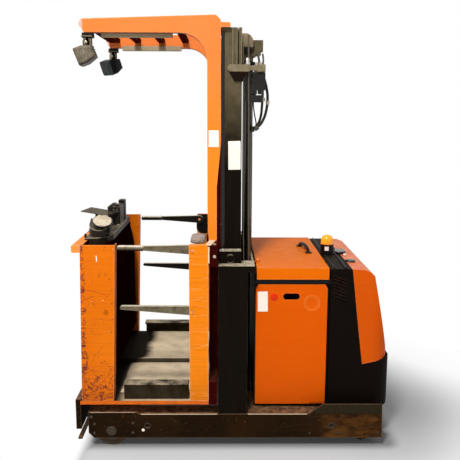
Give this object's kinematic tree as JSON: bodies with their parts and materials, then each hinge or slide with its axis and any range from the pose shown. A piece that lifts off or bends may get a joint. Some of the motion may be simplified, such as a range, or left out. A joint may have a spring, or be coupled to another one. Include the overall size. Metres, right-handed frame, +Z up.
{
  "type": "order picker truck",
  "caption": "Order picker truck: low chassis with load wheel legs, two-stage mast, rising cab with gates and overhead guard, battery body and steered drive unit; forks missing.",
  "frame": {"origin": "on the floor, in the middle of the truck's length and width", "axes": "+Z up, +X from the fork side to the power unit, +Y to the far side of the picture"},
  "size_m": [1.732, 1.124, 2.3],
  "materials": {
    "orange_paint": "scratched satin enamel",
    "red_paint": "dark satin enamel",
    "olive_metal": "dusty worn enamel",
    "hose_rubber": "greasy",
    "pad_grey": "worn foam skin",
    "dark_paint": "worn dark enamel with rust",
    "black_housing": "scuffed black",
    "steel_bright": "bare",
    "cast_grey": "dull",
    "roller_plastic": "worn polyurethane",
    "tyre_drive": "worn solid tyre",
    "console_grey": "moulded",
    "control_dark": "moulded",
    "disc_wrap": "white wrapped",
    "mat_rubber": "dusty",
    "strip_tan": "dusty",
    "lamp_black": "moulded",
    "amber_lens": "translucent look",
    "battery_case": "plain block"
  },
  "bodies": {
    "chassis": {"chassis_frame": "dark_paint", "load_axles": "steel_bright", "outer_mast": "dark_paint", "lift_barrels": "dark_paint", "mast_hoses": "hose_rubber", "body_shell": "dark_paint", "side_door_near": "orange_paint", "side_door_far": "orange_paint", "battery": "battery_case", "power_housing": "black_housing", "rear_cover": "orange_paint", "beacon_base": "lamp_black", "beacon_dome": "amber_lens"},
    "lid": {"battery_lid": "orange_paint"},
    "load_wheel_near": {"load_hub_near": "cast_grey", "load_tyre_near": "roller_plastic"},
    "load_wheel_far": {"load_hub_far": "cast_grey", "load_tyre_far": "roller_plastic"},
    "castor_near": {"castor_fork_near": "steel_bright"},
    "castor_far": {"castor_fork_far": "steel_bright"},
    "castor_roll_near": {"castor_wheel_near": "roller_plastic"},
    "castor_roll_far": {"castor_wheel_far": "roller_plastic"},
    "steered_drive": {"drive_unit": "cast_grey", "drive_motor": "cast_grey"},
    "drive_wheel": {"drive_hub": "cast_grey", "drive_tyre": "tyre_drive"},
    "mast_stage": {"inner_mast": "dark_paint", "lift_rods": "steel_bright", "chain_pulleys": "cast_grey", "lift_chains": "cast_grey"},
    "cab": {"cab_frame": "red_paint", "cab_floor": "dark_paint", "floor_mat": "mat_rubber", "sprung_platform": "mat_rubber", "console_panels": "orange_paint", "console_body": "red_paint", "console_collar": "orange_paint", "control_dash": "console_grey", "cab_posts": "orange_paint", "back_pad": "pad_grey", "toe_boards": "dark_paint", "overhead_guard": "orange_paint", "guard_bars": "orange_paint", "guard_strips": "strip_tan", "writing_board": "olive_metal", "work_lights": "lamp_black", "fork_carriage": "dark_paint", "control_pod": "console_grey", "hand_controls": "control_dark"},
    "steering_hand_disc": {"steering_disc": "disc_wrap"},
    "gate_upper_near": {"gate_arm_upper_near": "olive_metal"},
    "gate_lower_near": {"gate_arm_lower_near": "olive_metal"},
    "gate_upper_far": {"gate_arm_upper_far": "olive_metal"},
    "gate_lower_far": {"gate_arm_lower_far": "olive_metal"}
  },
  "joints": [
    {"name": "load_wheel_near_roll", "type": "hinge", "parent": "chassis", "child": "load_wheel_near", "pos_m": [-0.675, -0.491, 0.091], "axis": [0, 1, 0], "continuous": true},
    {"name": "load_wheel_far_roll", "type": "hinge", "parent": "chassis", "child": "load_wheel_far", "pos_m": [-0.675, 0.491, 0.091], "axis": [0, 1, 0], "continuous": true},
    {"name": "castor_near_swivel", "type": "hinge", "parent": "chassis", "child": "castor_near", "pos_m": [0.688, -0.429, 0.15], "axis": [0, 0, 1], "continuous": true},
    {"name": "castor_far_swivel", "type": "hinge", "parent": "chassis", "child": "castor_far", "pos_m": [0.688, 0.429, 0.15], "axis": [0, 0, 1], "continuous": true},
    {"name": "castor_near_roll", "type": "hinge", "parent": "castor_near", "child": "castor_roll_near", "pos_m": [0.70521, -0.45357, 0.065], "axis": [0.8192, 0.5736, 0], "continuous": true},
    {"name": "castor_far_roll", "type": "hinge", "parent": "castor_far", "child": "castor_roll_far", "pos_m": [0.70521, 0.40443, 0.065], "axis": [0.8192, 0.5736, 0], "continuous": true},
    {"name": "drive_steer", "type": "hinge", "parent": "chassis", "child": "steered_drive", "pos_m": [0.668, 0, 0.262], "axis": [0, 0, 1], "range_deg": [-90, 90]},
    {"name": "drive_roll", "type": "hinge", "parent": "steered_drive", "child": "drive_wheel", "pos_m": [0.668, 0, 0.115], "axis": [0, 1, 0], "continuous": true},
    {"name": "mast_lift", "type": "slide", "parent": "chassis", "child": "mast_stage", "axis": [0, 0, 1], "range_m": [0, 1.25]},
    {"name": "cab_lift", "type": "slide", "parent": "mast_stage", "child": "cab", "axis": [0, 0, 1], "range_m": [0, 1.25]},
    {"name": "lid_hinge", "type": "hinge", "parent": "chassis", "child": "lid", "pos_m": [0.112, 0, 0.98], "axis": [0, -1, 0], "range_deg": [0, 80]},
    {"name": "steering_disc_turn", "type": "hinge", "parent": "cab", "child": "steering_hand_disc", "pos_m": [-0.728, -0.345, 1.216], "axis": [0.108, -0.451, 0.886], "continuous": true},
    {"name": "gate_upper_near_lift", "type": "hinge", "parent": "cab", "child": "gate_upper_near", "pos_m": [-0.228, -0.5205, 1.098], "axis": [0, 1, 0], "range_deg": [0, 75]},
    {"name": "gate_lower_near_lift", "type": "hinge", "parent": "cab", "child": "gate_lower_near", "pos_m": [-0.231, -0.5205, 0.767], "axis": [0, 1, 0], "range_deg": [0, 75]},
    {"name": "gate_upper_far_lift", "type": "hinge", "parent": "cab", "child": "gate_upper_far", "pos_m": [-0.228, 0.5205, 1.098], "axis": [0, 1, 0], "range_deg": [0, 75]},
    {"name": "gate_lower_far_lift", "type": "hinge", "parent": "cab", "child": "gate_lower_far", "pos_m": [-0.231, 0.5205, 0.767], "axis": [0, 1, 0], "range_deg": [0, 75]}
  ],
  "couplings": [
    {"joint": "cab_lift", "follows": "mast_lift", "ratio": 1},
    {"joint": "gate_lower_near_lift", "follows": "gate_upper_near_lift", "ratio": 1},
    {"joint": "gate_lower_far_lift", "follows": "gate_upper_far_lift", "ratio": 1}
  ]
}
